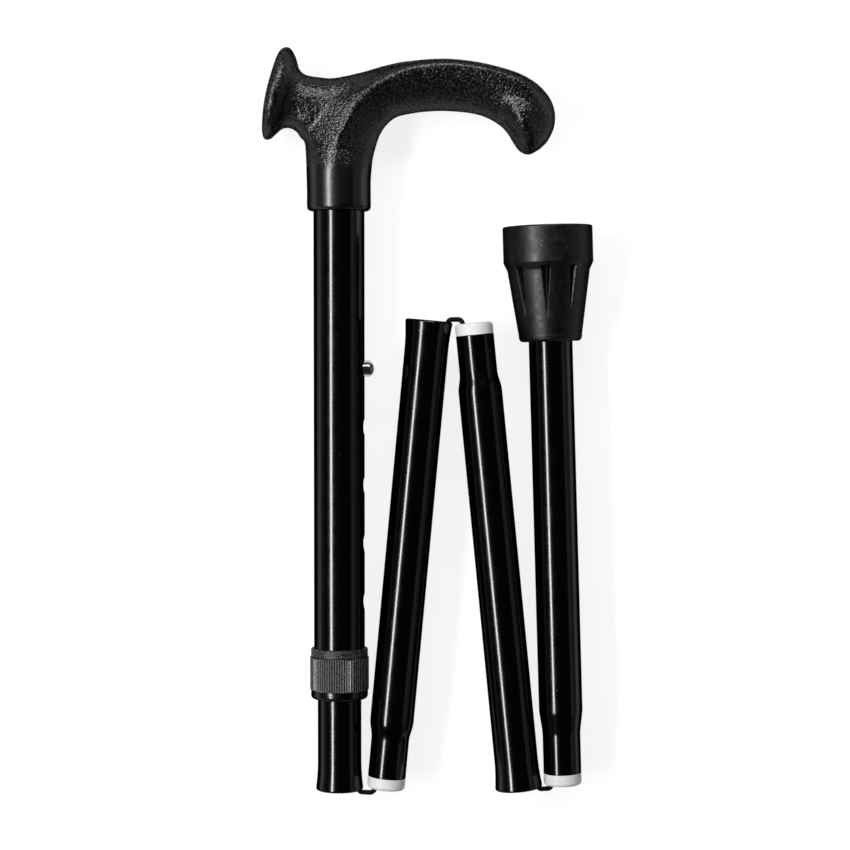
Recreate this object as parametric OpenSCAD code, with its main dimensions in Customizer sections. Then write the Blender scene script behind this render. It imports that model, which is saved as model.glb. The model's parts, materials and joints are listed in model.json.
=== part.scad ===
// Folding walking cane, lying folded flat on a table. Sizes in millimetres.
// +X runs across the folded sections, +Y towards the handle, +Z up from the table.
// Every shaft axis lies in one level plane, and each fold turns about an upright axis.

/* [Shaft tubes] */
// Outside diameter of the inner tube and of sections 2 to 4
shaft_od = 19.05; // [17.5:0.05:20.5]
// Wall of the inner tube and of sections 2 to 4
shaft_wall = 1.2; // [0.9:0.05:1.5]
// Wall of the upper tube
upper_wall = 1.2; // [0.9:0.05:1.5]
// Room all round between the inner tube and the upper tube
telescope_gap = 0.375; // [0.25:0.025:0.5]
// Length of upper tube that shows between the handle and the lock ring
upper_show = 189.7; // [180:0.1:205]
// Section 2 from its plug end to its bell rim
section_2_len = 205.3; // [190:0.1:215]
// Section 3 from its plug end to its bell rim
section_3_len = 204.3; // [190:0.1:215]
// Section 4 from its plug end to the ferrule's base
section_4_len = 243.5; // [235:0.5:250]

/* [Push-together joints] */
// How much wider the bell rim is than its tube, on the radius
bell_flare = 0.925; // [0.6:0.025:1.2]
// Length of the flare
bell_len = 7.5; // [6:0.1:9]
// Length of the swaged end, from the plug end to the shoulder
swage_len = 23; // [20:0.5:25]
// Length of the sloping shoulder on sections 2 and 3
shoulder_len = 5.5; // [4.5:0.1:7]
// Length of the shoulder on section 4, which is drawn out longer
shoulder_4_len = 9.5; // [8:0.1:11]
// Running clearance of the swaged end in the tube that takes it
swage_gap = 0.07; // [0.03:0.01:0.1]
// How far the shoulder enters the bell when the joint is together
seat_depth = 2.5; // [2:0.1:3]
// Height of the white cap
cap_h = 5.2; // [5:0.1:8]
// Wall of the plug's spigot
plug_wall = 1; // [0.8:0.1:1.3]
// Length of the plug's spigot
plug_spigot = 17; // [14:0.5:20]

/* [Folds] */
// Angle from the folded place to straight, folds 1, 2 and 3
fold_1_deg = 174.7; // [174:0.1:176]
// Angle of fold 2
fold_2_deg = 169.1; // [168:0.1:170]
// Angle of fold 3
fold_3_deg = 176.1; // [175:0.1:177]
// Gap between bell rim and plug end when a joint is drawn out straight
fold_gap = 2.4; // [2:0.1:3]
// Room between a bell rim and the plug folded beside it
fold_room = 0.5; // [0.4:0.05:1]
// Room between the lock nut and section 2 when that is drawn up beside it
nut_room = 0.4; // [0.3:0.05:1]
// Least room between the folded foot and the handle's nose, for a plug to be drawn in
foot_room = 31; // [30:0.5:34]

/* [Height adjustment] */
// Snap button below the foot of the handle
button_drop = 68.1; // [60:0.1:75]
// Distance between height holes
hole_pitch = 25.4; // [20:0.1:26]
// Number of height holes
hole_count = 5; // [2:1:5]
// Diameter of the snap button
button_d = 7.3; // [6:0.1:8]
// How far the button stands out of the upper tube
button_proud = 4.4; // [3.5:0.1:5]
// Room round the button in its holes
button_gap = 0.25; // [0.15:0.05:0.4]
// Inner tube above the button
inner_above = 25; // [22:0.5:28]
// Snap button to the inner tube's bell rim
bell_reach = 183.9; // [175:0.1:195]

/* [Lock collar] */
// Height of the fixed lock ring
ring_h = 3.75; // [3:0.05:5]
// Wall of the fixed lock ring
ring_wall = 1.3; // [1.2:0.05:1.5]
// Wall of the threaded sleeve under the nut
sleeve_wall = 0.6; // [0.5:0.05:0.7]
// Length of the lock nut
nut_len = 18.3; // [16:0.1:20]
// Length of the nut's knurled band
knurl_len = 14.2; // [13:0.1:15.5]
// Wall of the nut over its thread
nut_wall = 1; // [0.9:0.05:1.2]
// Number of knurl ridges
knurl_count = 72; // [60:1:96]
// Depth of the knurl
knurl_depth = 0.35; // [0.2:0.05:0.4]

/* [Handle] */
// Wall of the handle's stem round the upper tube
stem_wall = 2.75; // [2.3:0.05:3.2]
// Depth of the socket for the upper tube
socket_depth = 40; // [34:0.5:43]
// Lowest point of the grip's nose above the foot of the stem
nose_low = 24.5; // [23.5:0.1:25.2]
// Greatest thickness of the grip
grip_thick = 31.4; // [29:0.2:34]
// Width of the thumb rest
rest_wide = 33.4; // [31:0.2:36]

/* [Ferrule] */
// Diameter of the ferrule's base
ferrule_od = 39; // [37:0.5:42]
// Length of the ferrule
ferrule_len = 50; // [47:0.5:53]
// Height of the band round the base
band_h = 15.7; // [13:0.1:18]
// Diameter of the ferrule's mouth
mouth_od = 27.2; // [26:0.1:28]
// Diameter above the ledge, where the taper starts
ledge_od = 35.8; // [34:0.1:36.5]
// Rubber under the washer
ferrule_floor = 7.5; // [6:0.1:9]
// Number of flutes
flute_count = 9; // [6:1:10]
// Radius at the bottom of the flutes
flute_root = 14.7; // [14.6:0.05:15.6]
// Angle between the sides of a flute
flute_deg = 60; // [50:1:90]
// Inside radius of the outer tread groove
tread_outer = 13; // [11:0.1:14]
// Inside radius of the inner tread groove
tread_inner = 7; // [5:0.1:8]
// Depth of the tread grooves
tread_deep = 1.2; // [0.8:0.1:1.5]
// Width of the tread grooves
tread_wide = 1.5; // [1:0.1:2]
// Thickness of the steel washer
washer_t = 1.5; // [1:0.1:2]

/* [Cord] */
// Diameter of the stretched elastic cord
cord_d = 2.2; // [2:0.1:2.8]
// Room between the cord and the edges it bends round
cord_room = 0.35; // [0.3:0.05:0.5]
// Length of the metal crimp on each end
crimp_len = 7; // [5:0.5:8]
// Length of each anchor plug
anchor_len = 12; // [8:0.5:14]

/* [Hidden] */

$fn = 64;
press_gap = 0.05;
slide_gap = 0.08;
face_gap = 0.15;
cut = 1;

// Tube radii
shaft_r = shaft_od / 2;
shaft_bore = shaft_r - shaft_wall;
upper_bore = shaft_r + telescope_gap;
upper_r = upper_bore + upper_wall;
bell_r = shaft_r + bell_flare;
bell_mouth = shaft_bore + bell_flare;
swage_r = shaft_bore - swage_gap;
swage_bore = swage_r - shaft_wall;
plug_r = swage_bore - press_gap;
plug_bore = plug_r - plug_wall;
plug_lip = 0.7;
plug_mouth = plug_bore + plug_lip;
cap_round = 1.5;
cord_r = cord_d / 2;

// Distances down section 1, from the foot of the handle
inner_top = button_drop - inner_above;
rim_drop = max(button_drop + bell_reach, section_4_len + section_2_len - section_3_len - nose_low + foot_room);
ring_top = upper_show;
ring_foot = ring_top + ring_h;
nut_top = ring_foot + face_gap;
nut_foot = nut_top + nut_len;
knurl_foot = nut_top + knurl_len;
lip_h = 1.5;
cone_len = 5.2;
cone_top = nut_foot - lip_h - cone_len;
sleeve_lip = 2;
upper_foot = cone_top - face_gap - sleeve_lip;
sleeve_foot = upper_foot + sleeve_lip;

// Guide bush
bush_bore = 6;
bush_flange = 2;
bush_spigot = 12;

// Lock collar radii
sleeve_bore = upper_r + press_gap;
ring_r = upper_r + ring_wall;
thread_r = sleeve_bore + sleeve_wall;
nut_bore = thread_r + slide_gap;
nut_r = nut_bore + nut_wall;
lip_bore = shaft_r + 2 * face_gap;
cone_wall = 0.85;
cone_foot_r = lip_bore + cone_wall;
collet_bore = shaft_r + slide_gap;
collet_slit = 1.6;
rim_in = 0.4;
rim_round = 1.6;

// Snap button and its spring, across section 1
button_r = button_d / 2;
button_tip = upper_r + button_proud;
dome_h = 2.7;
flange_wide = 0.95;
flange_r = button_r + flange_wide;
flange_top = sqrt(pow(shaft_bore, 2) - pow(flange_r, 2)) - face_gap;
flange_t = 1.1;
leaf_t = 0.5;
leaf_wide = 6;
leaf_up = 8;
leaf_knee = 7;
leaf_turn = 16;
leaf_end = 22;
leaf_in = 3;
leaf_back = sqrt(pow(shaft_bore, 2) - pow(leaf_wide / 2, 2)) - face_gap;

// Ferrule edges and flutes
ledge_h = 3.4;
base_edge = 0.8;
mouth_round = 1.8;
flute_h = 23;
flute_rise = 1.5;
flute_deep = 6;
flute_half = flute_deep * tan(flute_deg / 2);
flute_from = 173;

// Cord ends
leg_reach = 47;
leg_straight = 2;
leg_turn = leg_reach - leg_straight;
bend_r = 2;
crimp_wall = 1.5;
anchor_gap = 8;
anchor_top = button_drop + inner_above + anchor_gap;
tube_4_end = section_4_len - ferrule_floor - washer_t;
anchor_foot = tube_4_end - crimp_len - anchor_gap;

// Places in the level plane, as [x, y] and a heading, before the origin is set
function heading_vec(h) = [cos(h), sin(h)];
function left_vec(h) = [-sin(h), cos(h)];
plug_travel = fold_gap + swage_len + seat_depth;
heading_1 = -90;
heading_2 = heading_1 + fold_1_deg;
heading_3 = heading_2 - fold_2_deg;
heading_4 = heading_3 + fold_3_deg;
lean_2 = 180 - fold_1_deg;
nut_reach = rim_drop - knurl_foot - plug_travel;
spacing = bell_r + swage_r + fold_room;
spacing_1 = max(spacing, nut_r + swage_r + nut_room - nut_reach * sin(lean_2));
// Bell rim to pivot, along the section, at each fold; the rest of the gap is on the plug's side
rim_to_pivot = [0.5, 0.6, 0.9];

function pivot_of(rim, h, s, wide, k) =
    rim + rim_to_pivot[k] * heading_vec(h) + s * wide / 2 * left_vec(h);
function start_of(pivot, h, s, wide, k) =
    pivot + (fold_gap - rim_to_pivot[k]) * heading_vec(h) - s * wide / 2 * left_vec(h);

rim_1 = rim_drop * heading_vec(heading_1);
pivot_1 = pivot_of(rim_1, heading_1, 1, spacing_1, 0);
start_2 = start_of(pivot_1, heading_2, 1, spacing_1, 0);
rim_2 = start_2 + section_2_len * heading_vec(heading_2);
pivot_2 = pivot_of(rim_2, heading_2, -1, spacing, 1);
start_3 = start_of(pivot_2, heading_3, -1, spacing, 1);
rim_3 = start_3 + section_3_len * heading_vec(heading_3);
pivot_3 = pivot_of(rim_3, heading_3, 1, spacing, 2);
start_4 = start_of(pivot_3, heading_4, 1, spacing, 2);

// Cord loop: out of the bell, round both edges, and into the plug, as points in the level plane
function loop_path(rim, h, start, h_next, pivot, s) =
    let (
        out = (heading_vec(h) - heading_vec(h_next)) / norm(heading_vec(h) - heading_vec(h_next)),
        across = -s * [out.y, -out.x],
        rim_edge = rim + s * bell_mouth * left_vec(h),
        plug_edge = start + s * plug_bore * left_vec(h_next),
        edges = [
            rim_edge,
            rim + s * bell_r * left_vec(h),
            plug_edge,
            start + s * (swage_r - cap_round) * left_vec(h_next)
        ],
        level = max([for (e = edges) (e - pivot) * out]) + cord_r + cord_room,
        x_bell = (rim_edge - pivot) * across - cord_r - cord_room,
        x_plug = (plug_edge - pivot) * across + cord_r + cord_room,
        deg = [180, 160, 135, 110, 90]
    ) concat(
        [rim - leg_reach * heading_vec(h), rim - leg_turn * heading_vec(h)],
        [for (a = deg)
            pivot + (x_bell + bend_r + bend_r * cos(a)) * across + (level - bend_r + bend_r * sin(a)) * out],
        [for (a = [90, 70, 45, 20, 0])
            pivot + (x_plug - bend_r + bend_r * cos(a)) * across + (level - bend_r + bend_r * sin(a)) * out],
        [start + leg_turn * heading_vec(h_next), start + leg_reach * heading_vec(h_next)]
    );

// Rings of points round a path in the level plane
cord_sides = 8;
function path_vec(path, i) =
    let (a = path[max(i - 1, 0)], b = path[min(i + 1, len(path) - 1)]) (b - a) / norm(b - a);
function path_rings(path) = [
    for (i = [0:len(path) - 1])
        let (t = path_vec(path, i), n = [-t.y, t.x])
        [for (j = [0:cord_sides - 1])
            let (a = 360 * j / cord_sides, p = path[i] + cord_r * cos(a) * n)
            [p.x, p.y, -cord_r * sin(a)]]
];
loops = [
    path_rings(loop_path(rim_1, heading_1, start_2, heading_2, pivot_1, 1)),
    path_rings(loop_path(rim_2, heading_2, start_3, heading_3, pivot_2, -1)),
    path_rings(loop_path(rim_3, heading_3, start_4, heading_4, pivot_3, 1))
];

// Handle: rings from thumb rest to nose, each [lower point, upper point, half width, height of the widest line]
stem_r = upper_r + stem_wall;
rest_half = rest_wide / 2;
grip_half = grip_thick / 2;
rest_pole = [-31.9, 50.5];
nose_pole = [90, 29.6];
grip_rings = [
    [[-33, 41], [-29.1, 59.5], 0.52 * rest_half, 0.5],
    [[-33.2, 34.5], [-25.5, 67.5], 0.86 * rest_half, 0.5],
    [[-32.2, 31.4], [-22.9, 70.5], 0.99 * rest_half, 0.5],
    [[-30.5, 31.3], [-21.2, 70.2], rest_half, 0.5],
    [[-27.8, 33.3], [-18.9, 66], 0.91 * rest_half, 0.5],
    [[-24, 35.8], [-17, 61.4], 0.77 * grip_half, 0.5],
    [[-20, 36], [-14.2, 58.9], 0.68 * grip_half, 0.5],
    [[-10, 35], [-8.3, 57.9], 0.68 * grip_half, 0.48],
    [[0, 36], [-2, 57.5], 0.8 * grip_half, 0.46],
    [[12, 37.5], [10, 60], 0.92 * grip_half, 0.56],
    [[22, 39.6], [20, 62.8], 0.96 * grip_half, 0.72],
    [[32.7, 42.4], [31, 65], 0.99 * grip_half, 0.8],
    [[46, 43.3], [43, 65.6], grip_half, 0.84],
    [[56, 42.5], [56, 64.8], 0.99 * grip_half, 0.84],
    [[63.2, 40.7], [67.5, 62.6], 0.97 * grip_half, 0.82],
    [[69.5, 37.2], [77.5, 59.6], 0.93 * grip_half, 0.68],
    [[72.9, 33.7], [84.5, 55.9], 0.88 * grip_half, 0.52],
    [[75.1, 30.2], [89.2, 51.7], 0.8 * grip_half, 0.42],
    [[77, 27.3], [92.2, 47.2], 0.71 * grip_half, 0.4],
    [[79.2, 25.3], [93.6, 42], 0.6 * grip_half, 0.42],
    [[82.5, nose_low], [93.3, 36.8], 0.45 * grip_half, 0.46],
    [[86.8, 26.7], [91.8, 32.7], 0.23 * grip_half, 0.5]
];
// Stem: level rings, each [height, left edge, right edge, half width]
stem_rings = [
    [0.5, -stem_r + 0.7, stem_r - 0.7, stem_r - 0.7],
    [1.8, -stem_r, stem_r, stem_r],
    [12.8, -stem_r - 0.1, stem_r, stem_r],
    [23.3, -stem_r - 0.5, stem_r + 1, stem_r],
    [30.2, -stem_r - 1.4, stem_r + 2.9, stem_r],
    [33.7, -stem_r - 2.8, stem_r + 4.4, stem_r - 0.2],
    [37.2, -stem_r - 6.5, stem_r + 6.8, stem_r - 0.6],
    [40.7, -stem_r - 8, stem_r + 11.3, stem_r - 1.2],
    [44, -stem_r - 5, stem_r + 15, stem_r - 2.4]
];
stem_foot_pole = [0, 0];
stem_foot = [0, -stem_r + 1.8, stem_r - 1.8, stem_r - 1.8];
stem_top_pole = [5, 46];
ring_points = 24;

function grip_ring(s) = [
    for (j = [0:ring_points - 1])
        let (
            a = 360 * j / ring_points,
            share = s[3] + (sin(a) > 0 ? 1 - s[3] : s[3]) * sin(a),
            p = s[0] + share * (s[1] - s[0])
        ) [p.x, p.y, s[2] * cos(a)]
];
function stem_ring(s) = [
    for (j = [0:ring_points - 1])
        let (a = 360 * j / ring_points)
        [(s[1] + s[2]) / 2 + (s[2] - s[1]) / 2 * cos(a), s[0], s[3] * sin(a)]
];

// Origin: on the table, under the middle of the folded cane
axis_h = ferrule_od / 2;
grip_edges = concat([rest_pole, nose_pole], [for (s = grip_rings) s[0]], [for (s = grip_rings) s[1]]);
ferrule_edge = start_4 + (section_4_len - band_h) * heading_vec(heading_4) - ferrule_od / 2 * left_vec(heading_4);
x_low = min([for (p = grip_edges) p.x]);
y_high = max([for (p = grip_edges) p.y]);
y_low = min([for (rings = loops) for (ring = rings) for (p = ring) p.y]);
middle = [(x_low + ferrule_edge.x) / 2, (y_low + y_high) / 2];

module place(at) {
    translate([at.x - middle.x, at.y - middle.y, axis_h]) children();
}

// Turns a piece built along +Z so that it runs from a point along a heading; its +Y is then to the left
module along(at, h) {
    place(at) rotate([0, 0, h]) rotate([0, 90, 0]) children();
}

module along_1() {
    along([0, 0], heading_1) children();
}

// Solid of revolution between two heights
module ring(r_out, r_in, from, to) {
    difference() {
        translate([0, 0, from]) cylinder(r = r_out, h = to - from);
        translate([0, 0, from - cut]) cylinder(r = r_in, h = to - from + 2 * cut);
    }
}

// Closed skin over rings of points, with a point at each end
module skin(rings, first, last) {
    n = len(rings[0]);
    m = len(rings);
    points = concat([for (r = rings) each r], [first, last]);
    sides = [for (i = [0:m - 2]) for (j = [0:n - 1])
        let (a = i * n + j, b = i * n + (j + 1) % n)
        each [[a, b, b + n], [a, b + n, a + n]]];
    first_fan = [for (j = [0:n - 1]) [m * n, (j + 1) % n, j]];
    last_fan = [for (j = [0:n - 1]) [m * n + 1, (m - 1) * n + j, (m - 1) * n + (j + 1) % n]];
    polyhedron(points = points, faces = concat(sides, first_fan, last_fan));
}

function mid(ring) = [for (i = [0:2]) (ring[0][i] + ring[len(ring) / 2][i]) / 2];

// Flared wall from a straight radius, as points up to the rim
flare_steps = 6;
function flare(r, rim) = [
    for (i = [0:flare_steps])
        let (share = i / flare_steps)
        [r + bell_flare * pow(share, 2), rim - bell_len * (1 - share)]
];
function backwards(list) = [for (i = [len(list) - 1:-1:0]) list[i]];

module handle() {
    color("#161616")
    difference() {
        place([0, 0]) {
            skin([for (s = grip_rings) grip_ring(s)],
                [rest_pole.x, rest_pole.y, 0], [nose_pole.x, nose_pole.y, 0]);
            skin([for (s = concat([stem_foot], stem_rings)) stem_ring(s)],
                [stem_foot_pole.x, stem_foot_pole.y, 0], [stem_top_pole.x, stem_top_pole.y, 0]);
        }
        along_1() translate([0, 0, -socket_depth]) cylinder(r = upper_r + press_gap, h = socket_depth + cut);
    }
}

module upper_tube() {
    color("#0c0c0d")
    along_1() difference() {
        ring(upper_r, upper_bore, -socket_depth, upper_foot);
        for (i = [0:hole_count - 1])
            translate([0, 0, button_drop + i * hole_pitch])
                rotate([-90, 0, 0]) cylinder(r = button_r + button_gap, h = upper_r + cut);
    }
}

module lock_sleeve() {
    color("#2b2b2d")
    along_1() difference() {
        union() {
            ring(ring_r, upper_bore, ring_top, ring_foot);
            ring(thread_r, upper_bore, ring_top, sleeve_foot);
        }
        translate([0, 0, ring_top - cut]) cylinder(r = sleeve_bore, h = upper_foot - ring_top + cut);
    }
}

module lock_nut() {
    color("#1c1c1e")
    along_1() difference() {
        union() {
            translate([0, 0, nut_top]) linear_extrude(knurl_len) polygon([
                for (i = [0:2 * knurl_count - 1])
                    let (r = nut_r - (i % 2) * knurl_depth, a = 180 * i / knurl_count)
                    [r * cos(a), r * sin(a)]
            ]);
            rotate_extrude() polygon([
                [0, nut_top + cut],
                [nut_r - rim_in, nut_top + cut],
                [nut_r - rim_in, nut_foot - rim_round],
                [nut_r - rim_in - 0.5 * rim_round, nut_foot - 0.4 * rim_round],
                [nut_r - rim_in - rim_round, nut_foot],
                [0, nut_foot]
            ]);
        }
        translate([0, 0, nut_top - cut]) cylinder(r = nut_bore, h = cone_top - nut_top + cut);
        translate([0, 0, cone_top]) cylinder(r1 = nut_bore, r2 = cone_foot_r, h = cone_len);
        translate([0, 0, nut_foot - lip_h - cut]) cylinder(r = lip_bore, h = lip_h + 2 * cut);
    }
}

module clamp_collet() {
    color("#d8d6cc")
    along_1() difference() {
        translate([0, 0, cone_top + face_gap])
            cylinder(r1 = nut_bore - 2 * face_gap, r2 = cone_foot_r - 2 * face_gap, h = cone_len - 2 * face_gap);
        translate([0, 0, cone_top]) cylinder(r = collet_bore, h = cone_len);
        translate([-collet_slit / 2, -nut_r, cone_top]) cube([collet_slit, nut_r, cone_len]);
    }
}

module inner_tube() {
    color("#0c0c0d")
    along_1() difference() {
        rotate_extrude() polygon(concat(
            [[shaft_r, inner_top]],
            flare(shaft_r, rim_drop),
            backwards(flare(shaft_bore, rim_drop)),
            [[shaft_bore, inner_top]]
        ));
        translate([0, 0, button_drop])
            rotate([-90, 0, 0]) cylinder(r = button_r + button_gap, h = shaft_r + cut);
    }
}

module guide_bush() {
    color("#e6e4dc")
    along_1() {
        ring(upper_bore - slide_gap, bush_bore, inner_top - bush_flange, inner_top);
        ring(shaft_bore - press_gap, bush_bore, inner_top, inner_top + bush_spigot);
    }
}

module snap_button() {
    dome_foot = button_tip - dome_h;
    color("#d9dadc")
    along_1() translate([0, 0, button_drop]) rotate([-90, 0, 0]) rotate_extrude() polygon(concat(
        [[0, flange_top - flange_t], [flange_r, flange_top - flange_t], [flange_r, flange_top]],
        [[button_r, flange_top]],
        [for (a = [0:15:90]) [button_r * cos(a), dome_foot + dome_h * sin(a)]]
    ));
}

// Flat strip between two points, drawn in the plane of the spring
module strip(from, to) {
    run = to - from;
    translate(from) rotate(atan2(run.y, run.x)) translate([0, -leaf_t / 2]) square([norm(run), leaf_t]);
    translate(to) circle(d = leaf_t);
}

module button_spring() {
    front = flange_top - flange_t - leaf_t / 2 - face_gap;
    back = -leaf_back + leaf_t / 2;
    bends = [
        [back, button_drop - leaf_up],
        [back, button_drop + leaf_turn],
        [back + leaf_in, button_drop + leaf_end],
        [front, button_drop + leaf_knee],
        [front, button_drop - leaf_up + leaf_t]
    ];
    color("#8d9096")
    along_1() rotate([90, 0, 90]) linear_extrude(leaf_wide, center = true)
        for (i = [0:len(bends) - 2]) strip(bends[i], bends[i + 1]);
}

module cord_anchor(from) {
    ring(shaft_bore - press_gap, cord_r + face_gap, from, from + anchor_len);
}

module cord_crimp(from) {
    ring(cord_r + crimp_wall, cord_r + press_gap, from, from + crimp_len);
}

module upper_cord_anchor() {
    color("#e6e4dc") along_1() cord_anchor(anchor_top);
}

module upper_cord_crimp() {
    color("#b9a46a") along_1() cord_crimp(anchor_top - crimp_len);
}

module lower_cord_anchor() {
    color("#e6e4dc") along(start_4, heading_4) cord_anchor(anchor_foot - anchor_len);
}

module lower_cord_crimp() {
    color("#b9a46a") along(start_4, heading_4) cord_crimp(anchor_foot);
}

// Tube of a lower section: swaged end, shoulder, straight run, and then the points of its far end
module section_tube(slope_len, outer_end, inner_end) {
    shoulder = swage_len + slope_len;
    color("#0c0c0d") rotate_extrude() polygon(concat(
        [[swage_bore, cap_h], [swage_r, cap_h], [swage_r, swage_len], [shaft_r, shoulder]],
        outer_end,
        inner_end,
        [[shaft_bore, shoulder], [swage_bore, swage_len]]
    ));
}

module belled_tube(length) {
    section_tube(shoulder_len, flare(shaft_r, length), backwards(flare(shaft_bore, length)));
}

// White bush: cap with a rounded corner and a flared mouth, and a spigot in the swaged end
module plug() {
    color("#eeeeec") rotate_extrude() polygon(concat(
        [for (a = [0:30:90]) [swage_r - cap_round * (1 - sin(a)), cap_round * (1 - cos(a))]],
        [[swage_r, cap_h], [plug_r, cap_h], [plug_r, cap_h + plug_spigot], [plug_bore, cap_h + plug_spigot]],
        [for (a = [0:30:90]) [plug_mouth - plug_lip * cos(a), plug_lip * (1 - sin(a))]]
    ));
}

module tube_2() {
    along(start_2, heading_2) belled_tube(section_2_len);
}

module plug_2() {
    along(start_2, heading_2) plug();
}

module tube_3() {
    along(start_3, heading_3) belled_tube(section_3_len);
}

module plug_3() {
    along(start_3, heading_3) plug();
}

module tube_4() {
    along(start_4, heading_4)
        section_tube(shoulder_4_len, [[shaft_r, tube_4_end]], [[shaft_bore, tube_4_end]]);
}

module plug_4() {
    along(start_4, heading_4) plug();
}

module ferrule() {
    base = section_4_len;
    mouth = base - ferrule_len;
    ledge = base - band_h;
    color("#151515")
    along(start_4, heading_4) difference() {
        rotate_extrude() polygon(concat(
            [[0, base - ferrule_floor], [shaft_r + press_gap, base - ferrule_floor], [shaft_r + press_gap, mouth]],
            [for (a = [0:30:90])
                [mouth_od / 2 - mouth_round * (1 - sin(a)), mouth + mouth_round * (1 - cos(a))]],
            [[ledge_od / 2, ledge - ledge_h], [ferrule_od / 2, ledge], [ferrule_od / 2, base - base_edge]],
            [[ferrule_od / 2 - base_edge, base]],
            [for (r = [tread_outer, tread_inner]) each [
                [r + tread_wide, base], [r + tread_wide, base - tread_deep], [r, base - tread_deep], [r, base]
            ]],
            [[0, base]]
        ));
        for (i = [0:flute_count - 1])
            rotate([0, 0, flute_from + 360 * i / flute_count])
                translate([flute_root, 0, ledge - ledge_h - flute_h])
                    linear_extrude(flute_h + flute_rise)
                        polygon([[0, 0], [flute_deep, -flute_half], [flute_deep, flute_half]]);
    }
}

module ferrule_washer() {
    color("#9a9da1") along(start_4, heading_4)
        translate([0, 0, tube_4_end]) cylinder(r = shaft_r - press_gap, h = washer_t);
}

module cord_run(from, to) {
    color("#111111") translate([0, 0, from]) cylinder(r = cord_r, h = to - from, $fn = 32);
}

module cord_1() {
    along_1() cord_run(anchor_top - crimp_len + cut, rim_drop - leg_reach - face_gap);
}

module cord_2() {
    along(start_2, heading_2) cord_run(leg_reach + face_gap, section_2_len - leg_reach - face_gap);
}

module cord_3() {
    along(start_3, heading_3) cord_run(leg_reach + face_gap, section_3_len - leg_reach - face_gap);
}

module cord_4() {
    along(start_4, heading_4) cord_run(leg_reach + face_gap, anchor_foot + crimp_len - cut);
}

module cord_loop(rings) {
    color("#111111") place([0, 0]) skin(rings, mid(rings[0]), mid(rings[len(rings) - 1]));
}

module cord_loop_1() {
    cord_loop(loops[0]);
}

module cord_loop_2() {
    cord_loop(loops[1]);
}

module cord_loop_3() {
    cord_loop(loops[2]);
}

handle();
upper_tube();
lock_sleeve();
lock_nut();
clamp_collet();
inner_tube();
guide_bush();
snap_button();
button_spring();
upper_cord_anchor();
upper_cord_crimp();
tube_2();
plug_2();
tube_3();
plug_3();
tube_4();
plug_4();
ferrule();
ferrule_washer();
lower_cord_anchor();
lower_cord_crimp();
cord_1();
cord_loop_1();
cord_2();
cord_loop_2();
cord_3();
cord_loop_3();
cord_4();
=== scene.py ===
import json
import math

import bmesh
import bpy
from mathutils import Matrix, Vector

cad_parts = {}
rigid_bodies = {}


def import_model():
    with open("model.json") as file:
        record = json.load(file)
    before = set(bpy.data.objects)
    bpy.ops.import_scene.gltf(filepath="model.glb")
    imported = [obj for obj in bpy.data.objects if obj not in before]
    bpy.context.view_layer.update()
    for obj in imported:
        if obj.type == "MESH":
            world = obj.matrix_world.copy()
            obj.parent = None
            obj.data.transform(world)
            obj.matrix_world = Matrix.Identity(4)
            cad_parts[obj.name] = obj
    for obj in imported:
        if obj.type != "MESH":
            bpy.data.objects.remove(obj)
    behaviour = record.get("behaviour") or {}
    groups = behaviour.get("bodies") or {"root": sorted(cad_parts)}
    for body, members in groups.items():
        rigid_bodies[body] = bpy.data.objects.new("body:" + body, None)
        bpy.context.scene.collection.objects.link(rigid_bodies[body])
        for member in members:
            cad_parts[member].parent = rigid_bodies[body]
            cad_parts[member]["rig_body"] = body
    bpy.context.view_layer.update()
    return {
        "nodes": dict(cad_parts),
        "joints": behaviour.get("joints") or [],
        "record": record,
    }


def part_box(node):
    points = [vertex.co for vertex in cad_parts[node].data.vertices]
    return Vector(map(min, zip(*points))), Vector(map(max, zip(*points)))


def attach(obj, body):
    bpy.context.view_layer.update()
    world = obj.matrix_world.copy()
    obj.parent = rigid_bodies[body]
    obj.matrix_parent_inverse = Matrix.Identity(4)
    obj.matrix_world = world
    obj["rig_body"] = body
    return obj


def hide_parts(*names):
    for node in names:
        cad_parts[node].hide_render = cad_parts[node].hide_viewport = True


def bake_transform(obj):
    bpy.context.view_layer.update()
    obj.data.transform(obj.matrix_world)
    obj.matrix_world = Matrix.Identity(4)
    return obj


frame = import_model()

# Frame: sizes below are in millimetres, and Blender's own are in metres
MM = 0.001
JOINTS = {joint["name"]: joint for joint in frame["joints"]}
SOCKET_DEPTH = 40
tube_low, tube_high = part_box("upper_tube")
AXIS_X = (tube_low.x + tube_high.x) / 2
AXIS_Z = (tube_low.z + tube_high.z) / 2
FOOT_Y = tube_high.y - SOCKET_DEPTH * MM


def spot(u, v, w=0.0):
    """A point measured from the foot of the handle, on the axis of the upper tube."""
    return Vector((AXIS_X + u * MM, FOOT_Y + v * MM, AXIS_Z + w * MM))


def left_of(heading):
    return Vector((-heading.y, heading.x, 0))


def slide_heading(joint):
    return -Vector(JOINTS[joint]["axis"])


def mount(name):
    return next(row for row in frame["record"]["mounts"] if row["name"] == name)


def run_of(node, heading):
    """Where a round CAD node starts and ends on its own axis, along a heading."""
    points = [vertex.co for vertex in frame["nodes"][node].data.vertices]
    ahead = [p.dot(heading) for p in points]
    aside = [p.dot(left_of(heading)) for p in points]
    middle = left_of(heading) * (min(aside) + max(aside)) / 2 + Vector((0, 0, AXIS_Z))
    return middle + heading * min(ahead), middle + heading * max(ahead)


def stand(start, heading):
    """Places a piece built along +Z: it runs from start along the heading, with its +Y to the left."""
    axes = Matrix((Vector((0, 0, -1)), left_of(heading), heading)).transposed().to_4x4()
    return Matrix.Translation(start) @ axes @ Matrix.Scale(MM, 4)


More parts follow.
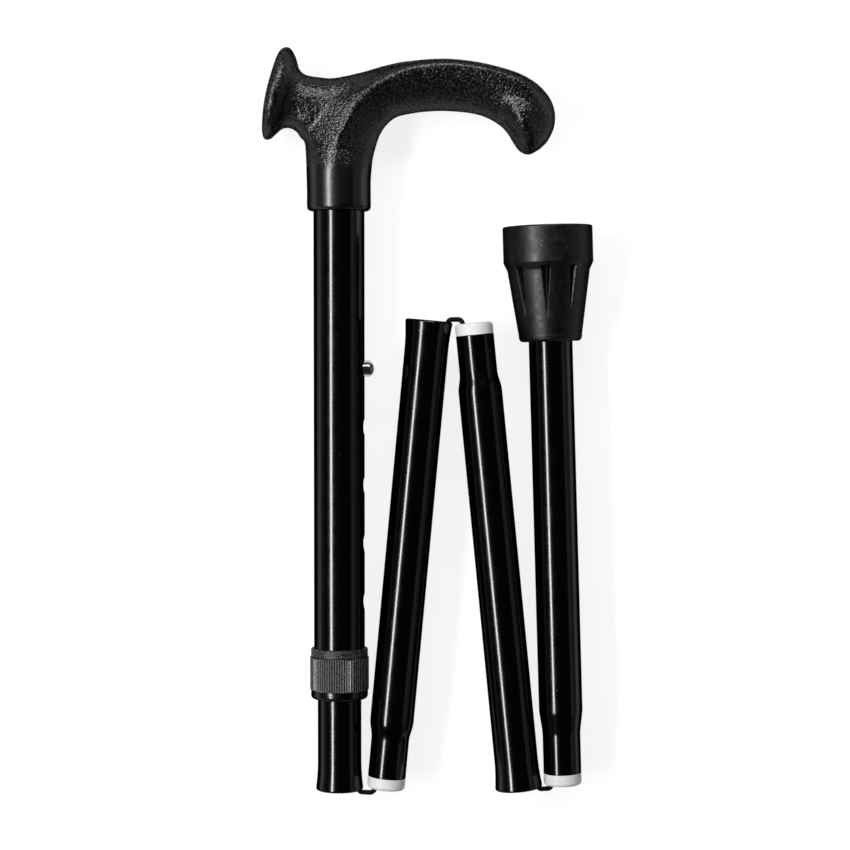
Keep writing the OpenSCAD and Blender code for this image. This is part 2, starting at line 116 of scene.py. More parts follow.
# Each section's heading, where it starts and ends on its axis, and the placing of its pieces
HEADINGS = {
    1: slide_heading("plug_1"),
    2: slide_heading("plug_2"),
    3: slide_heading("plug_3"),
    4: Vector(mount("ferrule_base")["axis"]),
}
SECTION = {1: stand(spot(0, 0), HEADINGS[1])}
STARTS = {}
RIMS = {1: run_of("inner_tube", HEADINGS[1])[1]}
for number in (2, 3, 4):
    STARTS[number] = run_of(f"plug_{number}", HEADINGS[number])[0]
    RIMS[number] = run_of(f"tube_{number}", HEADINGS[number])[1]
    SECTION[number] = stand(STARTS[number], HEADINGS[number])


# Shader helpers: most of a noise pattern lies between these two values
NOISE_LOW = 0.3
NOISE_HIGH = 0.7


def feed(tree, node, inputs):
    """Sets a node's inputs: each is a number, a colour or another node's output."""
    for key, value in inputs.items():
        if isinstance(value, bpy.types.NodeSocket):
            tree.links.new(value, node.inputs[key])
        else:
            node.inputs[key].default_value = value


def add(tree, kind, inputs=None, **settings):
    node = tree.nodes.new("ShaderNode" + kind)
    for key, value in settings.items():
        setattr(node, key, value)
    feed(tree, node, inputs or {})
    return node


def grey(value, warm=0.0):
    return (value * (1 + warm), value, value * (1 - warm), 1)


def principled(name, **sockets):
    """A new material, its node tree and its shader; socket names are written with _ for a space."""
    made = bpy.data.materials.new(name)
    made.use_nodes = True
    tree = made.node_tree
    shader = tree.nodes["Principled BSDF"]
    feed(tree, shader, {key.replace("_", " "): value for key, value in sockets.items()})
    return made, tree, shader


def place(tree):
    return add(tree, "TexCoord").outputs["Object"]


def noise(tree, size, detail=3.0, where=None):
    """Noise whose features are about one size across, in millimetres."""
    inputs = {"Vector": where or place(tree), "Scale": 1 / (size * MM), "Detail": detail}
    return add(tree, "TexNoise", inputs).outputs["Fac"]


def cells(tree, size, feature="F1", where=None, **inputs):
    settings = {"Vector": where or place(tree), "Scale": 1 / (size * MM)}
    settings.update(inputs)
    return add(tree, "TexVoronoi", settings, feature=feature).outputs["Distance"]


def spread(tree, value, low, high, to_low, to_high):
    """Maps a value from one range to another, held at both ends."""
    inputs = {"Value": value, "From Min": low, "From Max": high, "To Min": to_low, "To Max": to_high}
    return add(tree, "MapRange", inputs).outputs["Result"]


def uneven(tree, pattern, low, high):
    """Maps a noise pattern to a range."""
    return spread(tree, pattern, NOISE_LOW, NOISE_HIGH, low, high)


def tint(tree, value, dark, light, low=NOISE_LOW, high=NOISE_HIGH):
    """A colour ramp between two colours."""
    ramp = add(tree, "ValToRGB", {"Fac": value})
    ramp.color_ramp.elements[0].position = low
    ramp.color_ramp.elements[0].color = dark
    ramp.color_ramp.elements[1].position = high
    ramp.color_ramp.elements[1].color = light
    return ramp.outputs["Color"]


def calc(tree, operation, first, second):
    node = add(tree, "Math", operation=operation)
    feed(tree, node, {0: first, 1: second})
    return node.outputs["Value"]


def bump(tree, height, depth, normal=None):
    """Bump of a depth in millimetres."""
    inputs = {"Height": height, "Distance": depth * MM, "Strength": 1.0}
    if normal:
        inputs["Normal"] = normal
    return add(tree, "Bump", inputs).outputs["Normal"]


# Materials: this edge tint keeps the outlines of black surfaces dark against the pale floor
DARK_EDGE = grey(0.05)

# The grip's grain: its cells are this wide and deep, and bent by this much in so many waves a metre
GRAIN_SIZE = 1.05
GRAIN_DEPTH = 0.15
GRAIN_BEND = 1.6
GRAIN_WAVES = 600.0

# It starts this far above the foot and fades in about there, at a ragged edge, from a faint trace
GRAIN_FROM = 20
GRAIN_FADE = (-1, 5)
GRAIN_RAGGED = 4
GRAIN_LEAST = 0.04

# The lock nut's radius over its ridges, and how far below it their wear begins and is full
NUT_R = 12.83
WEAR_FROM = 0.11
WEAR_FULL = 0.01


def gloss_black():
    """Black gloss coating on tube: faint orange peel, a few dust specks, and dark edges."""
    made, tree, shader = principled("gloss_black", Metallic=1.0, Specular_Tint=DARK_EDGE)
    dust = spread(tree, cells(tree, 1.6), 0.05, 0.09, 1.0, 0.0)
    rare = spread(tree, noise(tree, 5.0), 0.60, 0.66, 0.0, 1.0)
    specks = calc(tree, "MULTIPLY", dust, rare)
    feed(tree, shader, {
        "Base Color": tint(tree, specks, grey(0.042), grey(0.30), 0.0, 1.0),
        "Roughness": uneven(tree, noise(tree, 7.0), 0.13, 0.18),
        "Normal": bump(tree, noise(tree, 0.9, 2.0), 0.002, normal=bump(tree, specks, 0.05)),
    })
    return made


def pebbled_black():
    """Moulded grip: leathery grain, its crests painted paler as a painted sparkle, above the smooth
    collar of the stem.
    """
    made, tree, shader = principled("pebbled_black", Specular_Tint=DARK_EDGE)
    where = place(tree)
    warp = add(tree, "TexNoise", {"Vector": where, "Scale": GRAIN_WAVES, "Detail": 2.0}).outputs["Color"]
    bent = add(tree, "VectorMath", operation="MULTIPLY_ADD")
    feed(tree, bent, {0: warp, 1: (GRAIN_BEND * MM,) * 3, 2: where})
    grain = cells(tree, GRAIN_SIZE, "SMOOTH_F1", bent.outputs["Vector"], Smoothness=0.35)
    fine = noise(tree, 0.35, 2.0)
    swell = spread(tree, grain, 0.1, 0.75, 1.0, 0.0)
    height = calc(tree, "ADD", swell, calc(tree, "MULTIPLY", fine, 0.3))
    level = add(tree, "SeparateXYZ", {"Vector": where}).outputs["Y"]
    ragged = calc(tree, "MULTIPLY", noise(tree, 4.0), GRAIN_RAGGED * MM)
    edge = calc(tree, "ADD", level, ragged)
    fade_from, fade_to = (FOOT_Y + (GRAIN_FROM + along) * MM for along in GRAIN_FADE)
    grained = spread(tree, edge, fade_from, fade_to, GRAIN_LEAST, 1.0)
    crests = calc(tree, "MULTIPLY", spread(tree, grain, 0.2, 0.45, 1.0, 0.0), grained)
    # The grain's crests are painted paler and less metallic: a painted sparkle of the grain, whose bump
    # is real
    painted_sparkle = calc(tree, "MULTIPLY", crests, uneven(tree, noise(tree, 6.0), 0.7, 1.0))
    feed(tree, shader, {
        "Base Color": tint(tree, painted_sparkle, grey(0.056), grey(0.08), 0.0, 1.0),
        "Metallic": spread(tree, painted_sparkle, 0.0, 1.0, 1.0, 0.7),
        "Roughness": uneven(tree, fine, 0.24, 0.32),
        "Normal": bump(tree, calc(tree, "MULTIPLY", height, grained), GRAIN_DEPTH),
    })
    return made


def satin_rubber():
    """Ferrule rubber: satin, slightly uneven, with a few pale scuffs."""
    made, tree, shader = principled("satin_rubber", Metallic=1.0, Specular_Tint=DARK_EDGE)
    scuff = spread(tree, cells(tree, 2.2), 0.06, 0.14, 1.0, 0.0)
    rare = spread(tree, noise(tree, 6.0), 0.54, 0.62, 0.0, 1.0)
    specks = calc(tree, "MULTIPLY", scuff, rare)
    skin = noise(tree, 0.5, 4.0)
    feed(tree, shader, {
        "Base Color": tint(tree, specks, grey(0.04), grey(0.2), 0.0, 1.0),
        "Roughness": uneven(tree, noise(tree, 3.0, 4.0), 0.33, 0.5),
        "Normal": bump(tree, skin, 0.045),
    })
    return made


def satin_nut():
    """Lock nut: black plastic, with the crests of its ridges rubbed pale."""
    made, tree, shader = principled("satin_nut", Specular_Tint=DARK_EDGE)
    from_axis = add(tree, "VectorMath", operation="SUBTRACT")
    feed(tree, from_axis, {0: place(tree), 1: (AXIS_X, 0, AXIS_Z)})
    across = add(tree, "VectorMath", operation="MULTIPLY")
    feed(tree, across, {0: from_axis.outputs["Vector"], 1: (1, 0, 1)})
    reach = add(tree, "VectorMath", operation="LENGTH")
    feed(tree, reach, {0: across.outputs["Vector"]})
    worn_from, worn_full = (NUT_R - WEAR_FROM) * MM, (NUT_R - WEAR_FULL) * MM
    crest = spread(tree, reach.outputs["Value"], worn_from, worn_full, 0.0, 1.0)
    worn = calc(tree, "MULTIPLY", crest, spread(tree, noise(tree, 1.6, 4.0), 0.35, 0.65, 0.55, 1.0))
    feed(tree, shader, {
        "Base Color": tint(tree, worn, grey(0.05), grey(0.18), 0.0, 1.0),
        "Metallic": spread(tree, worn, 0.0, 1.0, 1.0, 0.0),
        "Roughness": spread(tree, worn, 0.0, 1.0, 0.22, 0.5),
    })
    return made


def grained_ring():
    """Fixed lock ring: black plastic with a pale sandy grain."""
    made, tree, shader = principled("grained_ring", Specular_Tint=DARK_EDGE)
    sand = noise(tree, 0.45, 3.0)
    feed(tree, shader, {
        "Base Color": tint(tree, sand, grey(0.03), grey(0.13), 0.46, 0.64),
        "Metallic": spread(tree, sand, 0.46, 0.64, 1.0, 0.0),
        "Roughness": uneven(tree, sand, 0.3, 0.5),
        "Normal": bump(tree, sand, 0.15),
    })
    return made


def white_nylon():
    made, tree, shader = principled("white_nylon", Specular_IOR_Level=0.3)
    feed(tree, shader, {
        "Base Color": tint(tree, noise(tree, 3.0, 4.0), grey(0.75), grey(0.79)),
        "Roughness": uneven(tree, noise(tree, 1.2), 0.36, 0.5),
        "Normal": bump(tree, noise(tree, 0.4), 0.01),
    })
    return made


def natural_nylon():
    made, tree, shader = principled("natural_nylon", Subsurface_Weight=0.15, Subsurface_Scale=0.002)
    feed(tree, shader, {
        "Base Color": tint(tree, noise(tree, 3.0, 4.0), grey(0.70, 0.03), grey(0.80, 0.02)),
        "Roughness": uneven(tree, noise(tree, 1.5), 0.4, 0.55),
        "Normal": bump(tree, noise(tree, 0.5), 0.012),
    })
    return made


def metal(name, low, high, rough, warm=0.0, stretch=1.0):
    """Plain metal with a drawn or tumbled surface."""
    made, tree, shader = principled(name, Metallic=1.0)
    mapping = add(tree, "Mapping", {"Vector": place(tree), "Scale": (1, stretch, 1)})
    marks = noise(tree, 0.4, 4.0, mapping.outputs["Vector"])
    feed(tree, shader, {
        "Base Color": tint(tree, marks, grey(low, warm), grey(high, warm)),
        "Roughness": uneven(tree, marks, rough, rough + 0.12),
        "Normal": bump(tree, marks, 0.006),
    })
    return made


def braid():
    """Braided cover of the elastic cord."""
    made, tree, shader = principled("braid", Metallic=1.0, Specular_Tint=DARK_EDGE)
    fibre = noise(tree, 0.15, 3.0)
    feed(tree, shader, {
        "Base Color": tint(tree, fibre, grey(0.008), grey(0.022)),
        "Roughness": uneven(tree, fibre, 0.5, 0.7),
        "Normal": bump(tree, fibre, 0.04),
    })
    return made


FINISH = {
    "shaft": gloss_black(),
    "grip": pebbled_black(),
    "ferrule": satin_rubber(),
    "lock_nut": satin_nut(),
    "lock_ring": grained_ring(),
    "cap": white_nylon(),
    "nylon": natural_nylon(),
    "button": metal("chrome", 0.55, 0.62, 0.08),
    "spring_steel": metal("spring_steel", 0.40, 0.50, 0.28, stretch=0.15),
    "crimp": metal("crimp_alloy", 0.50, 0.58, 0.32, 0.03),
    "cord": braid(),
}
SLOT_OF = {part["node"]: part["material_slot"] for part in frame["record"]["subparts"]}
for node_name, node in frame["nodes"].items():
    node.data.materials.clear()
    node.data.materials.append(FINISH[SLOT_OF[node_name]])


# Mesh helpers
ARC_STEPS = 6
ON_AXIS = 1e-6
SHARP_ANGLE = math.radians(50)


def rounded(corners):
    """A closed outline from corners [radius, height, rounding], each rounding as an arc."""
    outline = []
    for index, (r, z, rounding) in enumerate(corners):
        here = Vector((r, z))
        before = (Vector(corners[index - 1][:2]) - here).normalized()
        after = (Vector(corners[(index + 1) % len(corners)][:2]) - here).normalized()
        if rounding == 0:
            outline.append(here)
            continue
        half = before.angle(after) / 2
        reach = rounding / math.tan(half)
        first = here + before * reach
        last = here + after * reach
        centre = here + (before + after).normalized() * rounding / math.sin(half)
        turn = (first - centre).angle_signed(last - centre)
        for step in range(ARC_STEPS + 1):
            arm = first - centre
            arm.rotate(Matrix.Rotation(-turn * step / ARC_STEPS, 2))
            outline.append(centre + arm)
    return outline


def revolve(outline, sides, shape=None):
    """A closed outline of [radius, height] turned about Z; shape may change the radius."""
    form = bmesh.new()
    rings = []
    for r, z in outline:
        if r < ON_AXIS:
            rings.append([form.verts.new((0, 0, z))] * sides)
            continue
        ring = []
        for side in range(sides):
            angle = 2 * math.pi * side / sides
            radius = shape(r, z, angle) if shape else r
            ring.append(form.verts.new((radius * math.cos(angle), radius * math.sin(angle), z)))
        rings.append(ring)
    for ring, following in zip(rings, rings[1:] + rings[:1]):
        for side in range(sides):
            corners = [ring[side], ring[(side + 1) % sides]]
            corners += [following[(side + 1) % sides], following[side]]
            corners = list(dict.fromkeys(corners))
            if len(corners) > 2:
                form.faces.new(corners)
    return form


def piece(name, form, matrix, node, steady=True):
    """Makes a piece from a mesh form, in place of a CAD node."""
    bmesh.ops.recalc_face_normals(form, faces=form.faces)
    mesh = bpy.data.meshes.new(name)
    form.to_mesh(mesh)
    form.free()
    mesh.transform(matrix)
    mesh.polygons.foreach_set("use_smooth", [True] * len(mesh.polygons))
    made = bpy.data.objects.new(name, mesh)
    bpy.context.scene.collection.objects.link(made)
    mesh.materials.append(FINISH[SLOT_OF[node]])
    if steady:
        made.modifiers.new("even_normals", "WEIGHTED_NORMAL").keep_sharp = True
    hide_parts(node)
    return made


def on_body(made, node):
    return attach(made, frame["nodes"][node]["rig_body"])


def dress(name, form, matrix, node, steady=True):
    """Makes a piece in place of a CAD node that rides on one body."""
    on_body(piece(name, form, matrix, node, steady), node)


def apply_modifiers(made):
    graph = bpy.context.evaluated_depsgraph_get()
    mesh = bpy.data.meshes.new_from_object(made.evaluated_get(graph))
    made.modifiers.clear()
    made.data = mesh


# Handle: three skins of rings, blended into one: stem and grip, thumb rest and neck, and the full nose.
# Each ring is [inner or lower point, outer or upper point, half width, share where it is widest, edge],
# where an edge of 0 is an ellipse, 1 is a crease and less than 0 is boxy
STEM_R = 13.85
BODY_RINGS = [
    [(12.05, 0), (-12.05, 0), 12.05, 0.5, 0],
    [(13.15, 0.5), (-13.15, 0.5), 13.15, 0.5, 0],
    [(STEM_R, 1.8), (-STEM_R, 1.8), STEM_R, 0.5, 0],
    [(STEM_R, 7), (-STEM_R, 7), STEM_R, 0.5, 0],
    [(STEM_R, 12.8), (-13.95, 12.8), STEM_R, 0.5, 0],
    [(14.2, 18), (-14.1, 18), STEM_R, 0.51, 0.1],
    [(14.85, 23.3), (-14.3, 24), STEM_R, 0.53, 0.4],
    [(16.75, 30.2), (-15.0, 30.4), 14.1, 0.52, 0.8],
    [(18.25, 33.7), (-17.4, 33.7), 14.5, 0.45, 0.95],
    [(20.65, 37.2), (-14, 50), 14.8, 0.4, 1],
    [(25.15, 40.7), (-2, 55), 15.0, 0.53, 1],
    [(32.7, 42.4), (13, 59.5), 15.3, 0.72, 0.9],
    [(39, 43.1), (27, 64), 15.6, 0.8, 0.8],
    [(46, 43.3), (43, 65.6), 15.7, 0.84, 0.75],
    [(56, 42.5), (56, 64.8), 15.5, 0.85, 0.75],
    [(63.2, 40.7), (67.5, 62.6), 15.0, 0.85, 0.75],
    [(69.5, 37.2), (77.5, 59.6), 14.2, 0.83, 0.75],
    [(72.9, 33.7), (84.5, 55.9), 13.0, 0.8, 0.8],
    [(75.1, 30.2), (89.2, 51.7), 11.6, 0.66, 0.5],
    [(77, 27.3), (92.2, 47.2), 10.2, 0.55, 0.1],
    [(79.2, 25.3), (93.6, 42), 8.8, 0.5, 0],
    [(82.5, 24.5), (93.3, 36.8), 6.8, 0.48, 0],
    [(86.8, 26.7), (91.8, 32.7), 3.5, 0.5, 0],
]
BODY_POLES = [(0, 0), (90, 29.6)]
REST_RINGS = [
    [(-33, 41), (-29.1, 59.5), 8.7, 0.5, 0],
    [(-33.2, 34.3), (-26.2, 67.7), 14.4, 0.5, 0],
    [(-32.2, 31.2), (-23.8, 70.5), 16.7, 0.5, 0],
    [(-29.8, 31.2), (-20.9, 70.5), 16.7, 0.5, 0],
    [(-27.2, 33.4), (-18.4, 66.4), 14.8, 0.5, 0],
    [(-24, 35.8), (-17, 61.4), 11.8, 0.5, -0.3],
    [(-20, 35.5), (-14.2, 58.9), 10.6, 0.5, -0.5],
    [(-13, 31.5), (-8.3, 57.9), 10.2, 0.52, -0.5],
    [(0, 37), (-2, 57.5), 10.4, 0.55, -0.3],
    [(12, 39), (10, 60), 11.0, 0.6, 0],
    [(22, 41), (20, 62.8), 11.5, 0.65, 0],
    [(32.7, 44), (31, 64.8), 11.5, 0.65, 0],
    [(42, 46), (40, 63), 9.0, 0.6, 0],
]
REST_POLES = [(-31.9, 50.5), (46, 55)]
NOSE_RINGS = [
    [(66, 43), (69, 58), 8.0, 0.55, 0],
    [(70.5, 38.2), (77, 57), 12.0, 0.5, 0.2],
    [(73.9, 34.7), (83.5, 54.5), 13.6, 0.35, 0.35],
    [(76.1, 31.2), (88.2, 50.9), 13.2, 0.32, 0.35],
    [(78, 28.3), (91.2, 46.5), 11.6, 0.32, 0.3],
    [(80, 26.3), (92.6, 41.5), 9.6, 0.36, 0.2],
    [(83, 25.5), (92.3, 36.6), 7.1, 0.45, 0],
]
NOSE_POLES = [(62, 51), (90, 30.5)]
RING_SIDES = 144
RING_STEPS = 6
FLANK_LEAN = 0.06
GRIP_VOXEL = 0.5
GRIP_SMOOTHING = 6
NECK_SMOOTHING = 40
CREASE_SMOOTHING = 90

# Where smoothing of the neck and of the crease fades in: across, up and away from the middle
NECK_ACROSS = (-25, -18)
NECK_UP = (24, 31)
NECK_FROM_CREASE = (3, 9)
CREASE_ACROSS = (2, 10)
CREASE_UP = (26, 34)
CREASE_OUT = (4, 9)


def between(before, first, second, after, t):
    """Catmull-Rom curve through four values."""
    bend = 2 * before - 5 * first + 4 * second - after
    turn = 3 * first - before - 3 * second + after
    return first + 0.5 * t * ((second - before) + t * (bend + t * turn))


def flat_ring(ring):
    (a, b), (c, d), half, share, edge = ring
    return [a, b, c, d, half, share, edge]


def dense(rings, steps):
    """More rings on smooth curves through the given ones."""
    flat = [flat_ring(ring) for ring in rings]
    made = []
    last = len(flat) - 1
    for index in range(last):
        four = [flat[max(index - 1, 0)], flat[index], flat[index + 1], flat[min(index + 2, last)]]
        for step in range(steps):
            made.append([between(*values, step / steps) for values in zip(*four)])
    return made + [flat[-1]]


def skin(form, rings, poles):
    """A closed skin over rings, with a point at each end, added to a form."""
    loops = []
    for a, b, c, d, half, share, edge in dense(rings, RING_STEPS):
        loop = []
        for side in range(RING_SIDES):
            angle = 2 * math.pi * side / RING_SIDES
            rise = math.sin(angle)
            at = share + (1 - share if rise > 0 else share) * rise
            power = 0.5 if rise > 0 else 0.5 + FLANK_LEAN * max(edge, 0)
            wide = half * max(1 - abs(rise) ** (2 - edge), 0) ** power
            wide = math.copysign(wide, math.cos(angle))
            loop.append(form.verts.new(spot(a + at * (c - a), b + at * (d - b), wide)))
        loops.append(loop)
    for loop, following in zip(loops, loops[1:]):
        for side in range(RING_SIDES):
            nxt = (side + 1) % RING_SIDES
            form.faces.new((loop[side], loop[nxt], following[nxt], following[side]))
    for loop, pole in ((loops[0], poles[0]), (loops[-1], poles[1])):
        tip = form.verts.new(spot(*pole))
        for side in range(RING_SIDES):
            form.faces.new((tip, loop[side], loop[(side + 1) % RING_SIDES]))


def cutter(form, matrix):
    """A hidden mesh for cutting another."""
    mesh = bpy.data.meshes.new("cutter")
    bmesh.ops.recalc_face_normals(form, faces=form.faces)
    form.to_mesh(mesh)
    form.free()
    mesh.transform(matrix)
    made = bpy.data.objects.new("cutter", mesh)
    bpy.context.scene.collection.objects.link(made)
    return made


def cut(made, tool):
    cutting = made.modifiers.new("cut", "BOOLEAN")
    cutting.operation = "DIFFERENCE"
    cutting.object = tool
    cutting.solver = "EXACT"
    apply_modifiers(made)
    bpy.data.objects.remove(tool)


def ease(value, low, high):
    """Zero at low and one at high, with a smooth step between."""
    share = min(max((value - low) / (high - low), 0), 1)
    return share * share * (3 - 2 * share)


def smooth(made, passes, group=""):
    blend = made.modifiers.new("blend", "SMOOTH")
    blend.factor = 0.5
    blend.iterations = passes
    blend.vertex_group = group
    apply_modifiers(made)


SOCKET_R = 11.15
SOCKET_SIDES = 96
PAST_FOOT = 3

# The crease runs on two lines, each [slope, set back]
CREASE_LINES = [(0.59, 18.6), (1, 37.3)]


def crease_at(v):
    """How far to the right the crease is, from the stem up to the grip."""
    return max(slope * v - back for slope, back in CREASE_LINES)


def make_handle():
    form = bmesh.new()
    skin(form, BODY_RINGS, BODY_POLES)
    skin(form, REST_RINGS, REST_POLES)
    skin(form, NOSE_RINGS, NOSE_POLES)
    made = piece("moulded_handle", form, Matrix(), "handle", steady=False)
    remesh = made.modifiers.new("one_skin", "REMESH")
    remesh.mode = "VOXEL"
    remesh.voxel_size = GRIP_VOXEL * MM
    remesh.use_smooth_shade = True
    apply_modifiers(made)
    neck = made.vertex_groups.new(name="neck")
    crease = made.vertex_groups.new(name="crease")
    for vertex in made.data.vertices:
        u, v, w = (vertex.co - spot(0, 0)) / MM
        weight = ease(u, *NECK_ACROSS) * ease(crease_at(v) - u, *NECK_FROM_CREASE) * ease(v, *NECK_UP)
        if weight > 0:
            neck.add([vertex.index], weight, "REPLACE")
        weight = ease(u, *CREASE_ACROSS) * ease(v, *CREASE_UP) * ease(abs(w), *CREASE_OUT)
        if weight > 0:
            crease.add([vertex.index], weight, "REPLACE")
    smooth(made, NECK_SMOOTHING, "neck")
    smooth(made, CREASE_SMOOTHING, "crease")
    smooth(made, GRIP_SMOOTHING)
    made.vertex_groups.clear()
    bore = [(0, -SOCKET_DEPTH), (SOCKET_R, -SOCKET_DEPTH), (SOCKET_R, PAST_FOOT), (0, PAST_FOOT)]
    cut(made, cutter(revolve(bore, SOCKET_SIDES), SECTION[1]))
    made.data.polygons.foreach_set("use_smooth", [True] * len(made.data.polygons))
    made.data.set_sharp_from_angle(angle=SHARP_ANGLE)
    on_body(made, "handle")


# Roundings of small edges, and the gap round a press fit
CRISP = 0.1
FINE = 0.2
SOFT = 0.4
PRESS_GAP = 0.05

# Tubes: the wall's outline, with rolled edges and drawn shoulders
SHAFT_R = 9.525
SHAFT_BORE = 8.325
BELL_FLARE = 0.925
BELL_LEN = 7.5
SWAGE_R = 8.255
SWAGE_BORE = 7.055
SWAGE_LEN = 23
SHOULDER_LEN = {2: 5.5, 3: 5.5, 4: 9.5}
CAP_H = 5.2
TUBE_EDGE = 0.55
SWAGE_EDGE = 0.25
RIM_OUTSIDE = 0.95
RIM_INSIDE = 0.15
SHOULDER_BEND = 16
BELL_BEND = 90
TUBE_SIDES = 96


def belled_end(rim):
    """Corners of a wall that opens into a bell, outside and then inside."""
    return [
        (SHAFT_R, rim - BELL_LEN, BELL_BEND),
        (SHAFT_R + BELL_FLARE, rim, RIM_OUTSIDE),
        (SHAFT_BORE + BELL_FLARE, rim, RIM_INSIDE),
        (SHAFT_BORE, rim - BELL_LEN, BELL_BEND),
    ]


def drawn_end(slope_len):
    """Corners of the narrowed end, inside and then outside."""
    shoulder = SWAGE_LEN + slope_len
    return [
        (SHAFT_BORE, shoulder, SHOULDER_BEND),
        (SWAGE_BORE, SWAGE_LEN, SHOULDER_BEND),
        (SWAGE_BORE, CAP_H, CRISP),
        (SWAGE_R, CAP_H, SWAGE_EDGE),
        (SWAGE_R, SWAGE_LEN, SHOULDER_BEND),
        (SHAFT_R, shoulder, SHOULDER_BEND),
    ]


def make_tubes():
    for number in (2, 3, 4):
        end = (RIMS[number] - STARTS[number]).length / MM
        plain_end = [(SHAFT_R, end, TUBE_EDGE), (SHAFT_BORE, end, TUBE_EDGE)]
        far_end = belled_end(end) if number < 4 else plain_end
        form = revolve(rounded(drawn_end(SHOULDER_LEN[number]) + far_end), TUBE_SIDES)
        dress(f"coated_tube_{number}", form, SECTION[number], f"tube_{number}")


# White plugs
PLUG_R = 7.005
PLUG_BORE = 6.005
PLUG_END = 22.2
PLUG_SIDES = 80
CAP_ROUND = 1.5
MOUTH_EDGE = 0.68


def make_plugs():
    corners = [
        (PLUG_BORE, 0, MOUTH_EDGE),
        (SWAGE_R, 0, CAP_ROUND),
        (SWAGE_R, CAP_H, FINE),
        (PLUG_R, CAP_H, CRISP),
        (PLUG_R, PLUG_END, SOFT),
        (PLUG_BORE, PLUG_END, FINE),
    ]
    for number in (2, 3, 4):
        form = revolve(rounded(corners), PLUG_SIDES)
        dress(f"white_plug_{number}", form, SECTION[number], f"plug_{number}")


# Lock collar, measured down section 1
UPPER_R = 11.1
RING_TOP = 189.7
RING_FOOT = 193.45
NUT_TOP = 193.6
NUT_FOOT = 211.9
KNURL_FOOT = 207.8
RIM_R = 12.43
RIM_ROUND = 1.6
NUT_BORE = 11.83
CONE_TOP = 205.2
CONE_FOOT_R = 10.675
LIP_BORE = 9.825
LIP_TOP = 210.4
KNURL_COUNT = 72
KNURL_DEPTH = 0.35
RIDGE_SIDES = 8
KNURL_FADE = 0.5
KNURL_LEAST = 0.25
KNURL_BLUNT = 1.5
NUT_CHAMFER = 0.25
RIM_STEPS = (0.15, 0.4)
LIP_EDGE = 0.3
RING_EDGE = 0.7
RING_R = 12.4
SLEEVE_R = 11.75
UPPER_BORE = 9.9
UPPER_FOOT = 203.05
SLEEVE_FOOT = 205.05


def knurl(r, z, angle):
    """Rounded ridges on the outside of the nut, fading at both ends of the band."""
    if r < NUT_R - KNURL_DEPTH or z > KNURL_FOOT:
        return r
    fade = min(1, (z - NUT_TOP) / KNURL_FADE, (KNURL_FOOT - z) / KNURL_FADE)
    valley = 0.5 - 0.5 * math.cos(KNURL_COUNT * angle)
    return r - KNURL_DEPTH * valley ** KNURL_BLUNT * max(fade, KNURL_LEAST)


def make_collar():
    band = [NUT_TOP + PRESS_GAP + KNURL_FADE * share for share in (0, 0.5, 1)]
    band += [KNURL_FOOT - KNURL_FADE * share for share in (1, 0.5, 0.05)]
    outside = [(NUT_R - NUT_CHAMFER, NUT_TOP, 0)] + [(NUT_R, z, 0) for z in band]
    outside += [(RIM_R, KNURL_FOOT + step, 0) for step in RIM_STEPS]
    corners = [(NUT_BORE, NUT_TOP, 0)] + outside + [
        (RIM_R, NUT_FOOT, RIM_ROUND),
        (LIP_BORE, NUT_FOOT, LIP_EDGE),
        (LIP_BORE, LIP_TOP, CRISP),
        (CONE_FOOT_R, LIP_TOP, CRISP),
        (NUT_BORE, CONE_TOP, 0),
    ]
    form = revolve(rounded(corners), KNURL_COUNT * RIDGE_SIDES, knurl)
    dress("knurled_nut", form, SECTION[1], "lock_nut")
    corners = [
        (UPPER_R + PRESS_GAP, RING_TOP, FINE),
        (RING_R, RING_TOP, RING_EDGE),
        (RING_R, RING_FOOT, LIP_EDGE),
        (SLEEVE_R, RING_FOOT, CRISP),
        (SLEEVE_R, SLEEVE_FOOT, FINE),
        (UPPER_BORE, SLEEVE_FOOT, FINE),
        (UPPER_BORE, UPPER_FOOT, 0),
        (UPPER_R + PRESS_GAP, UPPER_FOOT, 0),
    ]
    form = revolve(rounded(corners), TUBE_SIDES)
    dress("fixed_ring", form, SECTION[1], "lock_sleeve")


# Snap button, across section 1
BUTTON_DROP = 68.1
BUTTON_R = 3.65
BUTTON_TIP = 15.5
DOME_H = 2.7
DOME_STEPS = 16
BUTTON_SIDES = 64
FLANGE_R = 4.6
FLANGE_TOP = 6.789
FLANGE_FOOT = 5.689
BUTTON_TILT = Matrix.Translation((0, 0, BUTTON_DROP)) @ Matrix.Rotation(-math.pi / 2, 4, "X")
BUTTON_PLACE = SECTION[1] @ BUTTON_TILT
HOLE_R = 3.9
HOLE_SIDES = 48
HOLE_PAST = 2
INNER_TOP = 43.1


def make_button():
    neck = [(0, FLANGE_FOOT), (FLANGE_R, FLANGE_FOOT), (FLANGE_R, FLANGE_TOP), (BUTTON_R, FLANGE_TOP)]
    dome = []
    for step in range(DOME_STEPS + 1):
        angle = math.pi / 2 * step / DOME_STEPS
        dome.append((BUTTON_R * math.cos(angle), BUTTON_TIP - DOME_H + DOME_H * math.sin(angle)))
    form = revolve(neck + dome, BUTTON_SIDES)
    dress("button_dome", form, BUTTON_PLACE, "snap_button")


def make_inner_tube():
    rim = (RIMS[1] - spot(0, 0)).length / MM
    corners = [(SHAFT_BORE, INNER_TOP, FINE), (SHAFT_R, INNER_TOP, FINE)] + belled_end(rim)
    form = revolve(rounded(corners), TUBE_SIDES)
    made = piece("belled_inner_tube", form, SECTION[1], "inner_tube", steady=False)
    outside = SHAFT_R + HOLE_PAST
    hole = revolve([(0, 0), (HOLE_R, 0), (HOLE_R, outside), (0, outside)], HOLE_SIDES)
    cut(made, cutter(hole, BUTTON_PLACE))
    made.data.set_sharp_from_angle(angle=SHARP_ANGLE)
    made.modifiers.new("even_normals", "WEIGHTED_NORMAL").keep_sharp = True
    on_body(made, "inner_tube")


